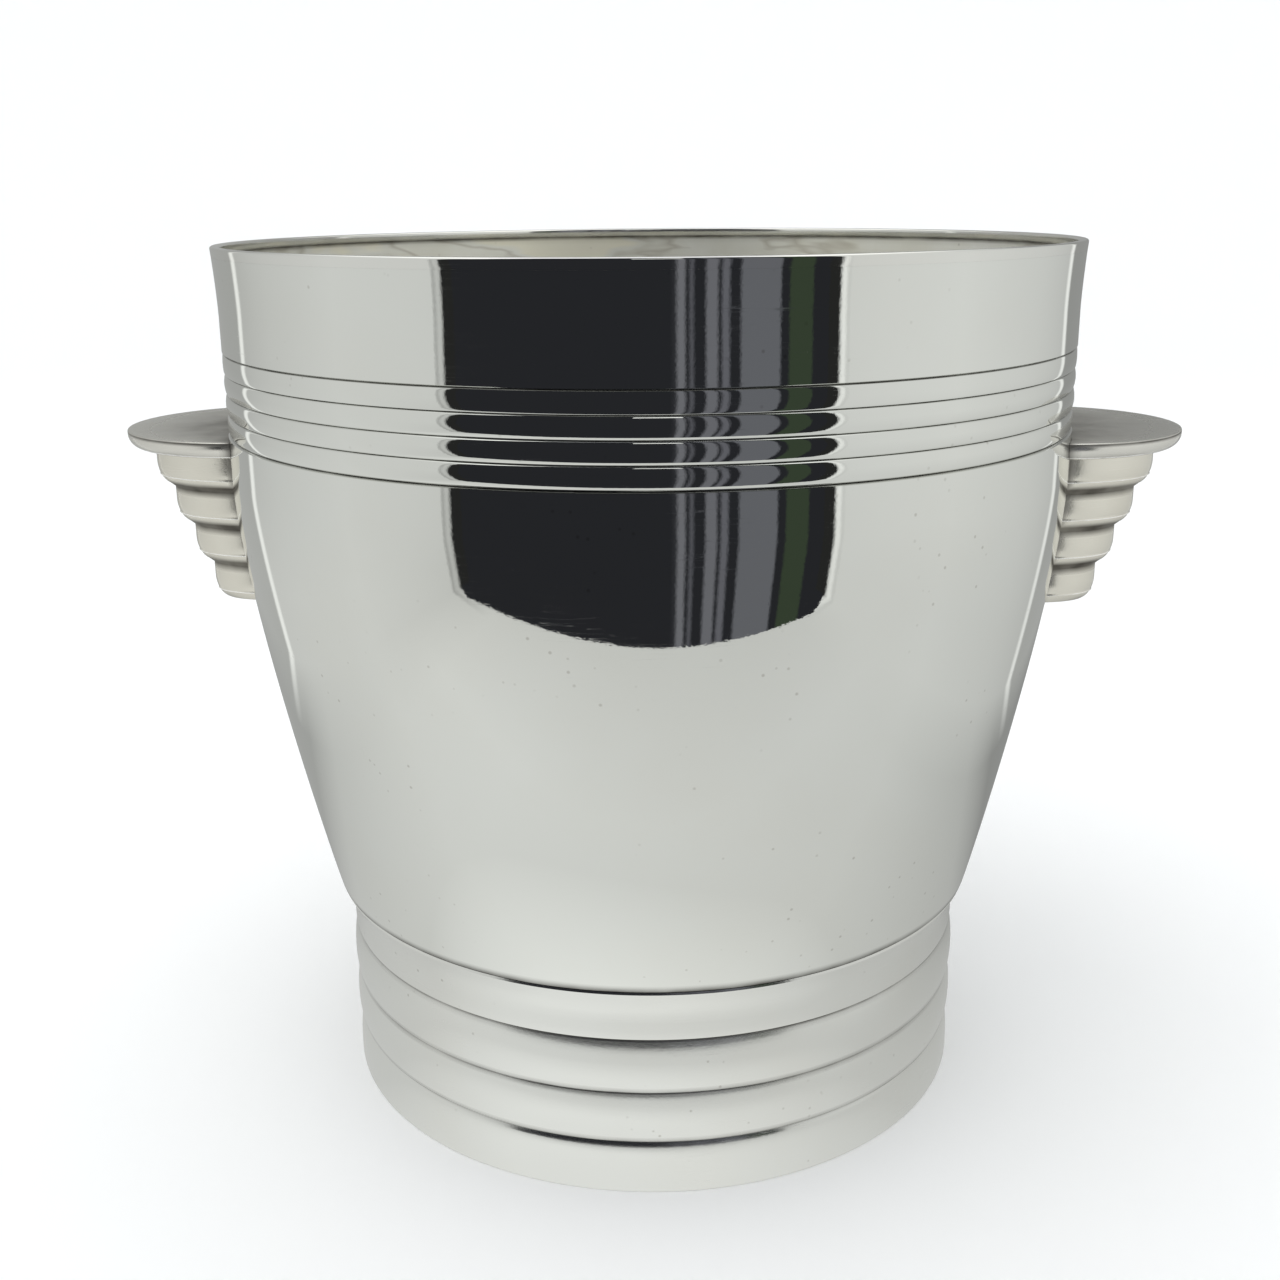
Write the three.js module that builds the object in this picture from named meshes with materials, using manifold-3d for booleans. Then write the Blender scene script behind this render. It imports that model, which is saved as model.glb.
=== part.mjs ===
// Champagne bucket in silver plate, in a plain stepped Art Deco style.
// Millimetres, +Z up. The origin is the centre of the plane that the foot stands on,
// the two handles lie on the X axis, and the front faces -Y.

import * as THREE from "three";
import { mergeVertices } from "three/addons/utils/BufferGeometryUtils.js";
import Module from "manifold-3d";

const wasm = await Module();
wasm.setup();

// ---- driving dimensions ----------------------------------------------------

const JOINT_GAP = 0.3; // clearance that stands for each solder seam

const HEIGHT = 205;
const RIM_RADIUS = 100;
const RIM_WIRE_HEIGHT = 2.2;
const RIM_WIRE_WIDTH = 2.2; // flush with the wall outside, a slim bead inside
const RIM_WIRE_ROUND = 0.6;
const FLARE_HEIGHT = 15; // the wall leans out over this height below the wire
const FLARE_STEPS = 4;

const WALL = 1.2;
const BAND_RADIUS = 99.2; // plain cylinder above the belly

const REED_TOP_Z = 181.8; // highest of the incised lines between the reeds
const REED_COUNT = 4;
const REED_PITCH = 4.58;
const REED_FULLNESS = 2; // each reed swells in a plain parabola
const REED_STEPS = 6;
const LINE_HALF_WIDTH = 0.5; // where a line meets a plain wall
const LINE_DEPTH = 0.5;

const BELLY_TOP_Z = 154;
const BELLY_PULL_Z = 126; // where the belly leaves the vertical
const BELLY_BOTTOM_RADIUS = 80.8;
const BELLY_BOTTOM_SLOPE = 0.39; // radius gained per millimetre of height
const BELLY_BOTTOM_PULL = 2; // height over which that slope holds

const FOOT_HEIGHT = 51.6;
const FOOT_RADIUS = 77.5;
const FOOT_LINE_Z = [25.2, 38.2]; // incised lines round the collar
const FOOT_RIB_FULLNESS = 6; // the foot's ribs are flat with rounded edges
const FOOT_RIB_STEPS = 8;
const BASE_RING_HEIGHT = 12.8;
const BASE_RING_RADIUS = 78;
const BASE_RING_THICKNESS = 4;
const BASE_RING_EDGE = 0.5; // worn chamfer on both of its outer edges
const COLLAR_THICKNESS = 1.8;
const COLLAR_SHOULDER_Z = 40.8; // above this the collar flares to meet the belly

const VESSEL_SEAT_RADIUS = 77.1; // the vessel's bottom drops inside the collar
const VESSEL_CORNER_RADIUS = 14;

const HANDLE_CENTRE_X = 95.2; // centre of the half-round plans, just inside the wall
const PLATE_RADIUS = 32;
const PLATE_TOP_Z = 162;
const PLATE_THICKNESS = 4;
const PLATE_LOWER_ROUND = 3;
const PLATE_UPPER_ROUND = 0.5;
const BRACKET_BOTTOM_Z = 118.5;
const RIB_REACH = [26.7, 22.8, 18.9, 15]; // from the handle's centre, top rib first
const RIB_HEIGHT = 9.9;
const RIB_DEPTH_RATIO = 0.65; // the ribs are half-ovals, longer than they are wide
const RIB_ROUND_WIDTH = 3.2;
const RIB_ROUND_HEIGHT = 5.4;
const RIB_ROUND_ANGLE = 75;
const RIB_COVE_HEIGHT = 1.2; // the hollow under a rib's rounded corner

const VESSEL_SIDES = 56;
const HANDLE_SIDES = 36;
const BELLY_STEPS = 8;
const CORNER_STEPS = 4;
const MERGE_DISTANCE = 1e-4;

// ---- materials -------------------------------------------------------------

function silver(name, color, roughness) {
  return new THREE.MeshStandardMaterial({ name, color, roughness, metalness: 1 });
}

// ---- geometry helpers ------------------------------------------------------

// Turns a profile of [radius, height] points about the Z axis.
function turned(profile, sides) {
  const points = profile.map(([radius, height]) => new THREE.Vector2(radius, height));
  return new THREE.LatheGeometry(points, sides).rotateX(Math.PI / 2);
}

// Points of an elliptical arc from angle `from` to angle `to`, both in degrees.
function arc(centreRadius, centreZ, radiusR, radiusZ, from, to, steps) {
  return Array.from({ length: steps + 1 }, (_, i) => {
    const angle = THREE.MathUtils.degToRad(from + ((to - from) * i) / steps);
    return [centreRadius + radiusR * Math.cos(angle), centreZ + radiusZ * Math.sin(angle)];
  });
}

// A rib that swells out between two incised lines, listed upwards. A higher fullness
// gives a flatter face with tighter edges, and the steps crowd towards those edges.
function rib(radius, bottomZ, topZ, fullness, steps) {
  return Array.from({ length: steps + 1 }, (_, i) => {
    const across = -Math.cos((Math.PI * i) / steps);
    const z = THREE.MathUtils.mapLinear(across, -1, 1, bottomZ, topZ);
    return [radius - LINE_DEPTH * Math.abs(across) ** fullness, z];
  });
}

function toSolid(geometry) {
  const bare = geometry.clone();
  bare.deleteAttribute("normal");
  bare.deleteAttribute("uv");
  const merged = mergeVertices(bare, MERGE_DISTANCE);
  const corners = merged.index.array;
  const triangles = [];
  for (let i = 0; i < corners.length; i += 3) {
    const [a, b, c] = corners.slice(i, i + 3);
    if (a !== b && b !== c && c !== a) triangles.push(a, b, c);
  }
  return new wasm.Manifold(
    new wasm.Mesh({
      numProp: 3,
      vertProperties: new Float32Array(merged.attributes.position.array),
      triVerts: new Uint32Array(triangles),
    }),
  );
}

function fromSolid(solid) {
  const { vertProperties, triVerts } = solid.getMesh();
  const geometry = new THREE.BufferGeometry();
  geometry.setAttribute("position", new THREE.BufferAttribute(vertProperties, 3));
  geometry.setIndex(new THREE.BufferAttribute(triVerts, 1));
  geometry.computeVertexNormals();
  return geometry;
}

// ---- vessel ----------------------------------------------------------------

// Smooth belly between the plain band and the foot, listed upwards.
function bellyPoints(inset) {
  const bottomZ = FOOT_HEIGHT + JOINT_GAP;
  const curve = new THREE.CubicBezierCurve(
    new THREE.Vector2(BELLY_BOTTOM_RADIUS - inset, bottomZ),
    new THREE.Vector2(
      BELLY_BOTTOM_RADIUS - inset + BELLY_BOTTOM_PULL * BELLY_BOTTOM_SLOPE,
      bottomZ + BELLY_BOTTOM_PULL,
    ),
    new THREE.Vector2(BAND_RADIUS - inset, BELLY_PULL_Z),
    new THREE.Vector2(BAND_RADIUS - inset, BELLY_TOP_Z),
  );
  return curve.getPoints(BELLY_STEPS).map((point) => [point.x, point.y]);
}

// The top of the wall leans out to meet the rim wire, listed upwards.
function flarePoints(inset, topZ) {
  return Array.from({ length: FLARE_STEPS + 1 }, (_, i) => {
    const t = i / FLARE_STEPS;
    const radius = THREE.MathUtils.lerp(BAND_RADIUS, RIM_RADIUS, t * t);
    return [radius - inset, topZ - FLARE_HEIGHT * (1 - t)];
  });
}

function vesselProfile() {
  const topZ = HEIGHT - RIM_WIRE_HEIGHT - JOINT_GAP;
  const seatZ = FOOT_HEIGHT + JOINT_GAP;
  const cornerCentre = VESSEL_SEAT_RADIUS - VESSEL_CORNER_RADIUS;
  const insideCorner = VESSEL_CORNER_RADIUS - WALL;
  const outerCorner = arc(
    cornerCentre, seatZ, VESSEL_CORNER_RADIUS, VESSEL_CORNER_RADIUS, -90, 0, CORNER_STEPS,
  );
  const innerCorner = arc(cornerCentre, seatZ, insideCorner, insideCorner, 0, -90, CORNER_STEPS);
  const reedBottomZ = REED_TOP_Z - REED_COUNT * REED_PITCH;
  const reeds = Array.from({ length: REED_COUNT }, (_, i) => {
    const z = reedBottomZ + i * REED_PITCH;
    const points = rib(BAND_RADIUS, z, z + REED_PITCH, REED_FULLNESS, REED_STEPS);
    return i === 0 ? points : points.slice(1);
  });
  return [
    [0, seatZ - VESSEL_CORNER_RADIUS],
    ...outerCorner,
    ...bellyPoints(0),
    [BAND_RADIUS, reedBottomZ - LINE_HALF_WIDTH],
    ...reeds.flat(),
    [BAND_RADIUS, REED_TOP_Z + LINE_HALF_WIDTH],
    ...flarePoints(0, topZ),
    ...flarePoints(WALL, topZ).reverse(),
    ...bellyPoints(WALL).slice(1).reverse(),
    ...innerCorner,
    [0, seatZ - insideCorner],
  ];
}

// The vessel's outside as a plain solid, swollen by the seam, for cutting the handles.
function wallCutter() {
  const band = BAND_RADIUS + JOINT_GAP;
  const belly = bellyPoints(-JOINT_GAP);
  return toSolid(
    turned([[0, belly[0][1]], ...belly, [band, HEIGHT], [0, HEIGHT]], VESSEL_SIDES),
  );
}

// ---- rim and foot ----------------------------------------------------------

function rimWireProfile() {
  const inner = RIM_RADIUS - RIM_WIRE_WIDTH;
  const bottom = HEIGHT - RIM_WIRE_HEIGHT;
  return [
    [inner + RIM_WIRE_ROUND, bottom],
    [RIM_RADIUS, bottom],
    [RIM_RADIUS, HEIGHT - RIM_WIRE_ROUND],
    [RIM_RADIUS - RIM_WIRE_ROUND, HEIGHT],
    [inner + RIM_WIRE_ROUND, HEIGHT],
    [inner, HEIGHT - RIM_WIRE_ROUND],
    [inner, bottom + RIM_WIRE_ROUND],
    [inner + RIM_WIRE_ROUND, bottom],
  ];
}

function footCollarProfile() {
  const bottom = BASE_RING_HEIGHT + JOINT_GAP;
  const inner = FOOT_RADIUS - COLLAR_THICKNESS;
  const flare = BELLY_BOTTOM_RADIUS - FOOT_RADIUS;
  const flareMiddleZ = (COLLAR_SHOULDER_Z + FOOT_HEIGHT) / 2;
  const [lowLine, highLine] = FOOT_LINE_Z;
  const lowRib = rib(FOOT_RADIUS, bottom, lowLine, FOOT_RIB_FULLNESS, FOOT_RIB_STEPS);
  const highRib = rib(FOOT_RADIUS, lowLine, highLine, FOOT_RIB_FULLNESS, FOOT_RIB_STEPS);
  return [
    [inner, bottom],
    ...lowRib,
    ...highRib.slice(1),
    [FOOT_RADIUS, highLine + LINE_HALF_WIDTH],
    [FOOT_RADIUS, COLLAR_SHOULDER_Z],
    [FOOT_RADIUS + flare / 3, flareMiddleZ],
    [BELLY_BOTTOM_RADIUS, FOOT_HEIGHT],
    [VESSEL_SEAT_RADIUS + 2 * JOINT_GAP, FOOT_HEIGHT],
    [inner + flare / 3, flareMiddleZ],
    [inner, COLLAR_SHOULDER_Z],
    [inner, bottom],
  ];
}

function baseRingProfile() {
  const inner = BASE_RING_RADIUS - BASE_RING_THICKNESS;
  const edge = BASE_RING_EDGE;
  return [
    [inner, 0],
    [BASE_RING_RADIUS - edge, 0],
    [BASE_RING_RADIUS, edge],
    [FOOT_RADIUS, BASE_RING_HEIGHT - edge],
    [FOOT_RADIUS - edge, BASE_RING_HEIGHT],
    [FOOT_RADIUS - COLLAR_THICKNESS, BASE_RING_HEIGHT],
    [inner, BASE_RING_HEIGHT - COLLAR_THICKNESS],
    [inner, 0],
  ];
}

// ---- handles ---------------------------------------------------------------

function plateProfile() {
  const bottom = PLATE_TOP_Z - PLATE_THICKNESS;
  return [
    [0, bottom],
    ...arc(
      PLATE_RADIUS - PLATE_LOWER_ROUND, bottom + PLATE_LOWER_ROUND,
      PLATE_LOWER_ROUND, PLATE_LOWER_ROUND, -90, 0, CORNER_STEPS,
    ),
    [PLATE_RADIUS, PLATE_TOP_Z - PLATE_UPPER_ROUND],
    [PLATE_RADIUS - PLATE_UPPER_ROUND, PLATE_TOP_Z],
    [0, PLATE_TOP_Z],
  ];
}

// One rib of a bracket, listed upwards: the rounded lower corner, then the upright face.
function bracketRib(reach, bottomZ, topZ) {
  const drop = RIB_ROUND_HEIGHT * Math.sin(THREE.MathUtils.degToRad(RIB_ROUND_ANGLE));
  const faceBottomZ = bottomZ + RIB_COVE_HEIGHT + drop;
  const corner = arc(
    reach - RIB_ROUND_WIDTH, faceBottomZ,
    RIB_ROUND_WIDTH, RIB_ROUND_HEIGHT, -RIB_ROUND_ANGLE, 0, CORNER_STEPS,
  );
  return [...corner, [reach, topZ]];
}

function bracketProfile() {
  const topZ = PLATE_TOP_Z - PLATE_THICKNESS - JOINT_GAP;
  const upwards = [...RIB_REACH].reverse();
  const ribs = upwards.map((reach, i) => {
    const ribBottomZ = BRACKET_BOTTOM_Z + i * RIB_HEIGHT;
    return bracketRib(reach, ribBottomZ, Math.min(ribBottomZ + RIB_HEIGHT, topZ));
  });
  return [[0, BRACKET_BOTTOM_Z], ...ribs.flat(), [0, topZ]];
}

// A turned piece on the handle's own axis, trimmed to the vessel's wall.
// `side` is +1 for the handle on +X and -1 for the one on -X.
function againstWall(profile, depthRatio, side, cutter) {
  const quarterTurn = Math.PI / 2;
  const geometry = turned(profile, HANDLE_SIDES)
    .rotateZ(side * quarterTurn)
    .scale(1, depthRatio, 1)
    .translate(side * HANDLE_CENTRE_X, 0, 0);
  const whole = toSolid(geometry);
  const trimmed = whole.subtract(cutter);
  return fromSolid(trimmed);
}

// ---- assembly --------------------------------------------------------------

const bucket = new THREE.Group();

function addPiece(name, geometry, material) {
  const mesh = new THREE.Mesh(geometry, material);
  mesh.name = name;
  bucket.add(mesh);
}

addPiece("vessel_body", turned(vesselProfile(), VESSEL_SIDES), silver("polished", 0xc9ccc8, 0.12));
addPiece("rim_wire", turned(rimWireProfile(), VESSEL_SIDES), silver("rim", 0xd2d3ce, 0.16));
addPiece("foot_collar", turned(footCollarProfile(), VESSEL_SIDES), silver("collar", 0xc6c9c4, 0.14));
addPiece("foot_base_ring", turned(baseRingProfile(), VESSEL_SIDES), silver("base", 0xc3c6c1, 0.16));

const cutter = wallCutter();
for (const [label, side] of [["left", -1], ["right", 1]]) {
  addPiece(
    `handle_${label}_plate`,
    againstWall(plateProfile(), 1, side, cutter),
    silver(`${label} plate`, 0xb9bab3, 0.2),
  );
  addPiece(
    `handle_${label}_bracket`,
    againstWall(bracketProfile(), RIB_DEPTH_RATIO, side, cutter),
    silver(`${label} bracket`, 0xb4b3aa, 0.24),
  );
}

export default bucket;
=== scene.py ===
"""Silver-plated champagne bucket: the visual model, its materials and a plain studio round it."""

import math

import bmesh
import bpy
from mathutils import Matrix, Vector


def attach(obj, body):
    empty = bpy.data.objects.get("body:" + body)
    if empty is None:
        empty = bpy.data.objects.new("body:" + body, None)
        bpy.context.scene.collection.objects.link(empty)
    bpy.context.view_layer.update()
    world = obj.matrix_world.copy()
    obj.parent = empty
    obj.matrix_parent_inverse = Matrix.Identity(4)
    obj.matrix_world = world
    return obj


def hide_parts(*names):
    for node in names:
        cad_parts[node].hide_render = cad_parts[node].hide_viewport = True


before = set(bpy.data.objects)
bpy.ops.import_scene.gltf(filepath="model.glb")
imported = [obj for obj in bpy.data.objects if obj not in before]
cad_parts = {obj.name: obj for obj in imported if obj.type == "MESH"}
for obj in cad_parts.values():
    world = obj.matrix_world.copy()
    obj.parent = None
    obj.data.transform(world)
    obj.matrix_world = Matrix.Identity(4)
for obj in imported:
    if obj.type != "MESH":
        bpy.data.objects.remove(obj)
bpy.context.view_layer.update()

MM = 0.001  # shapes are written in millimetres and made in metres

# ---- sizes of the bucket, in millimetres -------------------------------------

HEIGHT = 205.0
RIM_RADIUS = 100.0
RIM_WIRE_HEIGHT = 2.2
RIM_WIRE_WIDTH = 2.2
RIM_TOP_ROUND = 0.5
FLARE_HEIGHT = 15.0  # the wall leans out over this height below the wire
FLARE_POWER = 1.5  # above 1, the lean starts gently and steepens
WALL = 1.2
BAND_RADIUS = 99.2
SEAM = 0.05  # hairline between soldered pieces
RIM_SEAM = 0.01  # the rim's seam is ground flush

LINE_Z = [163.49, 168.17, 172.73, 177.38, 181.86]  # incised lines round the band
REED_CROWN = [0.42, 0.40, 0.42, 0.18]  # how far each reed swells, lowest reed first
LINE_DEPTH = 0.30
LINE_SHARE = 0.1  # the part of each half-reed that dips into its line
LINE_POWER = 1.5
LINE_MARGIN = 0.35  # plain metal just outside the first and last lines

BELLY_TOP_Z = 154.0
BELLY_PULL_Z = 126.0
BELLY_BOTTOM_Z = 51.9
BELLY_BOTTOM_RADIUS = 80.8
BELLY_BOTTOM_SLOPE = 0.39
BELLY_BOTTOM_PULL = 2.0

VESSEL_SEAT_RADIUS = 77.1
VESSEL_CORNER_RADIUS = 14.0
BOWL_SHOULDER = 5.0  # the inside turns in towards its floor this far above the seat
BELLY_UNDERSIDE = 0.5  # grime and painted shade are full this far in under the belly's lower edge

FOOT_HEIGHT = 51.6
FOOT_RADIUS = 77.5
FOOT_LINE_Z = [12.8, 25.2, 38.2]
COLLAR_THICKNESS = 1.8
BASE_RING_RADIUS = 78.0
BASE_RING_THICKNESS = 4.0
BASE_RING_SIDE_Z = 3.5  # above this the ring rounds over towards the collar
BASE_RING_CROWN = 1.8
BASE_RING_FOOT_ROUND = 0.8
BASE_RING_CHAMFER = 0.5
BASE_RING_SLOPE = 1.8  # how far its top falls towards the inside
FOOT_RIB_SWELL = 0.6  # how far each foot rib bulges in the middle
FOOT_RIB_LEAN = 0.5  # how much further out its bottom stands than its top
FOOT_RIB_ROUND = 0.5
LOWER_RIB_SHOULDER = (1.0, 0.45)  # height and depth of the rounding at the rib's top
UPPER_RIB_SHOULDER = (1.9, 0.5)
NECK_OUTLINE = [  # the hollow neck between the top rib and the vessel
    (77.6, 40.3), (77.62, 42.3), (77.75, 44.3), (78.1, 46.3),
    (78.9, 48.3), (79.9, 50.0), (80.4, 50.9), (80.2, 51.4),
]
SEAT_INSET = 0.6  # the collar's top edge is cut back by this much
SEAT_CLEARANCE = 0.1
COLLAR_WIDENING = 1.1  # the collar's inside widens by this much between the next two heights
WIDENING_BOTTOM_Z = 40.0
WIDENING_TOP_Z = 46.0

HANDLE_CENTRE_X = 95.2
HANDLE_RISE = {-1: 0.2, 1: -0.9}  # the left handle was soldered on a little higher than the right
HANDLE_TUCK = {-1: 0.9, 1: 0.0}  # and a little deeper into the wall
PLATE_RADIUS = 32.0
PLATE_TOP_Z = 162.0
PLATE_THICKNESS = 4.0
PLATE_LOWER_ROUND = 3.0
PLATE_UPPER_ROUND = 0.35
RIB_REACH = [15.0, 18.9, 22.8, 26.7]  # lowest rib first
RIB_BOTTOM_Z = [118.0, 127.9, 137.6, 147.2]
RIB_DEPTH_RATIO = 0.65
RIB_ROUND_WIDTH = 3.2
RIB_ROUND_HEIGHT = 5.4
RIB_ROUND_ANGLE = 75.0
RIB_COVE_HEIGHT = 1.2
EDGE_ANGLE = -36.0  # a crisp edge with a painted highlight runs half-way round each rib's lower corner
EDGE_HALF_WIDTH = 0.5  # in degrees round the corner
EDGE_BLEND = 1.5  # the edge has died away this many degrees from its middle
EDGE_PROUD = 0.15

# ---- how far grime and painted shade spread, in millimetres -----------------------

SEAM_GRIME_AND_SHADE = 0.8  # from the foot's seams
NECK_GRIME_AND_SHADE = 0.35  # into the neck above the top rib
HIDDEN_GRIME_AND_SHADE = 1.0  # from edges inside the soldered seams
BELLY_GRIME_AND_SHADE = 1.5  # up the belly from the foot
RIM_GRIME_AND_SHADE = 1.2  # down the inside from the rim
RIM_WIRE_GRIME_AND_SHADE = 0.8
PLATE_GRIME_AND_SHADE = 0.3  # round the plate's upper edge
COVE_GRIME_AND_SHADE = 1.2  # in the coves between the bracket's ribs
WALL_GRIME_AND_SHADE = 2.0  # over the handle from the vessel's wall
RIM_INSIDE_SHARE = 0.15  # the rim's bead is only a little duller than the outside

# ---- how finely curves are divided -------------------------------------------------

SIDES = 320  # round the turned pieces
HANDLE_SIDES = 72
BELLY_STEPS = 64
FLARE_STEPS = 12
REED_STEPS = 16
BOWL_STEPS = 12
BOWL_FLOOR_STEPS = 24
ROUND_STEPS = 8
FOOT_RIB_STEPS = 12
BASE_RING_FOOT_STEPS = 6
BASE_RING_CROWN_STEPS = 16
PLATE_LOWER_STEPS = 18
PLATE_UPPER_STEPS = 6
RIB_CORNER_STEPS = 6
WALL_SEARCH_STEPS = 48
SHARP_ANGLE = math.radians(38)

# ---- mesh helpers --------------------------------------------------------------


def piece_from(name, verts, faces, marks, node, slot, material):
    """Makes a closed, smooth-shaded piece that stands for one CAD node."""
    mesh = bpy.data.meshes.new(name)
    mesh.from_pydata([Vector(v) * MM for v in verts], [], faces)
    # each vertex carries its grime and painted shade, whether it is inside, and its painted highlight
    for channel, label in enumerate(("grime_and_shade", "inside", "painted_highlight")):
        layer = mesh.attributes.new(label, "FLOAT", "POINT")
        layer.data.foreach_set("value", [mark[channel] for mark in marks])
    bm = bmesh.new()
    bm.from_mesh(mesh)
    bmesh.ops.recalc_face_normals(bm, faces=bm.faces)
    for face in bm.faces:
        face.smooth = True
    for edge in bm.edges:
        edge.smooth = edge.calc_face_angle(0.0) < SHARP_ANGLE
    bm.to_mesh(mesh)
    bm.free()
    mesh.materials.append(material)
    piece = bpy.data.objects.new(name, mesh)
    bpy.context.scene.collection.objects.link(piece)
    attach(piece, "root")
    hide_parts(node)
    return piece


def turned(profile, sides):
    """Turns a closed profile of (radius, z, marks) about Z. Points at radius 0 become one vertex."""
    verts, marks, rings = [], [], []
    for radius, z, mark in profile:
        if radius == 0:
            rings.append([len(verts)] * sides)
            verts.append((0, 0, z))
            marks.append(mark)
            continue
        rings.append(list(range(len(verts), len(verts) + sides)))
        for i in range(sides):
            angle = 2 * math.pi * i / sides
            verts.append((radius * math.cos(angle), radius * math.sin(angle), z))
            marks.append(mark)
    faces = []
    on_axis = profile[0][0] == 0
    pairs = zip(rings, rings[1:]) if on_axis else zip(rings, rings[1:] + rings[:1])
    for lower, upper in pairs:
        for i in range(sides):
            j = (i + 1) % sides
            corners = [lower[i], lower[j], upper[j], upper[i]]
            faces.append(list(dict.fromkeys(corners)))
    return verts, faces, marks


def arc(centre_r, centre_z, radius_r, radius_z, start, stop, steps):
    """Points of an elliptical arc, with angles in degrees."""
    points = []
    for i in range(steps + 1):
        angle = math.radians(start + (stop - start) * i / steps)
        points.append((centre_r + radius_r * math.cos(angle), centre_z + radius_z * math.sin(angle)))
    return points


def mark_points(points, dirt_and_shade=lambda z: 0.0, inside=0.0, painted_highlight=0.0):
    """Marks every point of an outline with its grime and painted shade, whether it is inside, and its
    painted highlight.
    """
    return [(radius, z, (dirt_and_shade(z), inside, painted_highlight)) for radius, z in points]


def near(height, reach, power=1.0):
    """Grime and painted shade that fade away from a height."""
    return lambda z: max(0.0, 1 - abs(z - height) / reach) ** power


# ---- vessel ----------------------------------------------------------------------


def belly(inset):
    """The belly's curve from the foot up to the plain band."""
    corners = [
        (BELLY_BOTTOM_RADIUS - inset, BELLY_BOTTOM_Z),
        (
            BELLY_BOTTOM_RADIUS - inset + BELLY_BOTTOM_PULL * BELLY_BOTTOM_SLOPE,
            BELLY_BOTTOM_Z + BELLY_BOTTOM_PULL,
        ),
        (BAND_RADIUS - inset, BELLY_PULL_Z),
        (BAND_RADIUS - inset, BELLY_TOP_Z),
    ]
    points = []
    for i in range(BELLY_STEPS + 1):
        t = i / BELLY_STEPS
        weights = [(1 - t) ** 3, 3 * (1 - t) ** 2 * t, 3 * (1 - t) * t * t, t**3]
        points.append(tuple(sum(w * c[k] for w, c in zip(weights, corners)) for k in range(2)))
    return points


def reed(bottom_z, top_z, crown):
    """One convex reed between two incised lines."""
    points = []
    for i in range(REED_STEPS + 1):
        across = -math.cos(math.pi * i / REED_STEPS)
        z = (bottom_z + top_z) / 2 + across * (top_z - bottom_z) / 2
        edge = max(0.0, abs(across) - (1 - LINE_SHARE)) / LINE_SHARE
        radius = BAND_RADIUS - crown * across**2 - LINE_DEPTH * edge**LINE_POWER
        # the dip into each incised line carries grime and painted shade
        points.append((radius, z, (edge**2, 0.0, 0.0)))
    return points


def flare_radius(z):
    """Outside radius of the band, whose top leans out to the rim."""
    lean = max(0.0, (z - HEIGHT + FLARE_HEIGHT) / FLARE_HEIGHT)
    return BAND_RADIUS + (RIM_RADIUS - BAND_RADIUS) * lean**FLARE_POWER


def flare(inset, top_z):
    """The leaning top of the wall, listed upwards."""
    bottom_z = HEIGHT - FLARE_HEIGHT
    heights = [bottom_z + (top_z - bottom_z) * i / FLARE_STEPS for i in range(FLARE_STEPS + 1)]
    return [(flare_radius(z) - inset, z) for z in heights]


def vessel_outside(centre, top_z):
    """Up the outside, from the middle of the bottom to the rim."""
    corner = VESSEL_CORNER_RADIUS
    bowl = [(0, BELLY_BOTTOM_Z - corner)]
    bowl += arc(centre, BELLY_BOTTOM_Z, corner, corner, -90, 0, BOWL_STEPS)
    belly_edge = [(BELLY_BOTTOM_RADIUS - BELLY_UNDERSIDE, BELLY_BOTTOM_Z)]
    profile = mark_points(bowl)
    # grime and painted shade run in under the belly's lower edge and up the belly from the foot
    profile += mark_points(belly_edge, near(BELLY_BOTTOM_Z, HIDDEN_GRIME_AND_SHADE))
    profile += mark_points(belly(0), near(BELLY_BOTTOM_Z, BELLY_GRIME_AND_SHADE))
    profile += mark_points([(BAND_RADIUS, LINE_Z[0] - LINE_MARGIN)])
    for i, crown in enumerate(REED_CROWN):
        points = reed(LINE_Z[i], LINE_Z[i + 1], crown)
        profile += points if i == 0 else points[1:]
    return profile + mark_points([(BAND_RADIUS, LINE_Z[-1] + LINE_MARGIN)] + flare(0, top_z))


def vessel_inside(centre, top_z):
    """Down the inside, from the rim to the middle of the bowl's floor."""
    inner = VESSEL_CORNER_RADIUS - WALL
    floor_z = BELLY_BOTTOM_Z - inner
    shoulder_z = BELLY_BOTTOM_Z + BOWL_SHOULDER
    wall = [point for point in belly(WALL)[::-1] if point[1] > shoulder_z]
    # the rounded floor starts at 45 degrees, just inside the seat, and ends level
    radius = inner / (1 - math.sqrt(0.5))
    floor_centre = centre + inner - radius * math.sqrt(0.5)
    points = flare(WALL, top_z)[::-1] + wall
    points += arc(floor_centre, floor_z + radius, radius, radius, -45, -90, BOWL_FLOOR_STEPS)
    points += [(0, floor_z)]
    # grime and painted shade darken the inside just below the rim
    return mark_points(points, near(top_z, RIM_GRIME_AND_SHADE), 1.0)


def vessel_profile():
    """The vessel's whole section: up the outside and down the inside."""
    top_z = HEIGHT - RIM_WIRE_HEIGHT - RIM_SEAM
    centre = VESSEL_SEAT_RADIUS - VESSEL_CORNER_RADIUS
    return vessel_outside(centre, top_z) + vessel_inside(centre, top_z)


def wall_radius(z):
    """The vessel's outside radius at height z."""
    curve = belly(0)
    for (r0, z0), (r1, z1) in zip(curve, curve[1:]):
        if z0 <= z <= z1:
            return r0 + (r1 - r0) * (z - z0) / (z1 - z0)
    return BAND_RADIUS


# ---- rim and foot ----------------------------------------------------------------


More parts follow.
